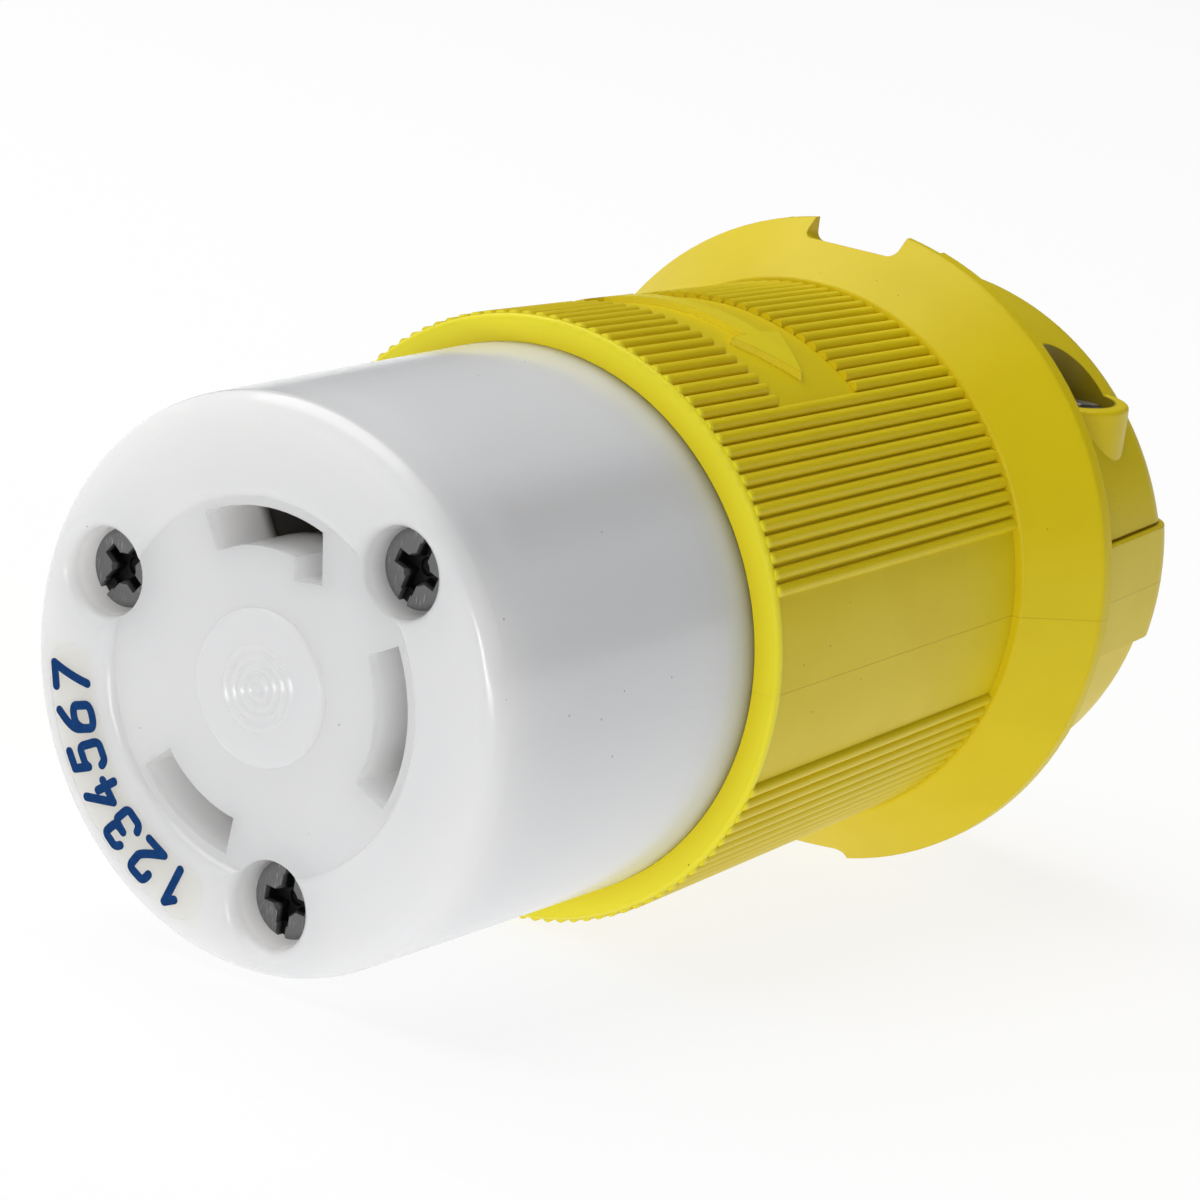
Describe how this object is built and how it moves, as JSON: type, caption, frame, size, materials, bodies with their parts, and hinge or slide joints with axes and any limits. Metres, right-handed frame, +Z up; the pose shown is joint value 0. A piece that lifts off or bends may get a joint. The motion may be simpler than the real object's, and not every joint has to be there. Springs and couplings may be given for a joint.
{
  "type": "twist-lock cord connector",
  "caption": "Round twist-lock cord connector: white contact face with curved slots, ribbed yellow housing with a notched flange, and a screw-down cord clamp.",
  "frame": {"origin": "on the ground under the connector's axis, midway along its length", "axes": "+Y along the axis from the contact face to the cord end, +Z up along the clamp screws, +X to the right seen from the front"},
  "size_m": [0.059, 0.101, 0.0576],
  "materials": {
    "white_nylon": "moulded, semi-gloss",
    "yellow_nylon": "moulded, satin",
    "grey_nylon": "moulded, satin",
    "contact_brass": "drawn, bare",
    "plated_steel": "zinc plated",
    "black_screw": "black oxide",
    "green_screw": "green plated"
  },
  "bodies": {
    "connector": {"face_body": "white_nylon", "contact_carrier": "grey_nylon", "line_contact_x": "contact_brass", "line_contact_y": "contact_brass", "ground_contact": "contact_brass", "line_clamp_x": "plated_steel", "line_clamp_y": "plated_steel", "ground_clamp": "plated_steel", "line_terminal_screws": "contact_brass", "ground_terminal_screw": "green_screw", "assembly_screws": "black_screw", "threaded_inserts": "contact_brass", "housing": "yellow_nylon", "clamp_nuts": "plated_steel"},
    "clamp": {"cord_clamp": "yellow_nylon", "clamp_screws": "plated_steel"}
  },
  "joints": [
    {"name": "clamp_lift", "type": "slide", "parent": "connector", "child": "clamp", "axis": [0, 0, 1], "range_m": [0, 0.006]}
  ]
}
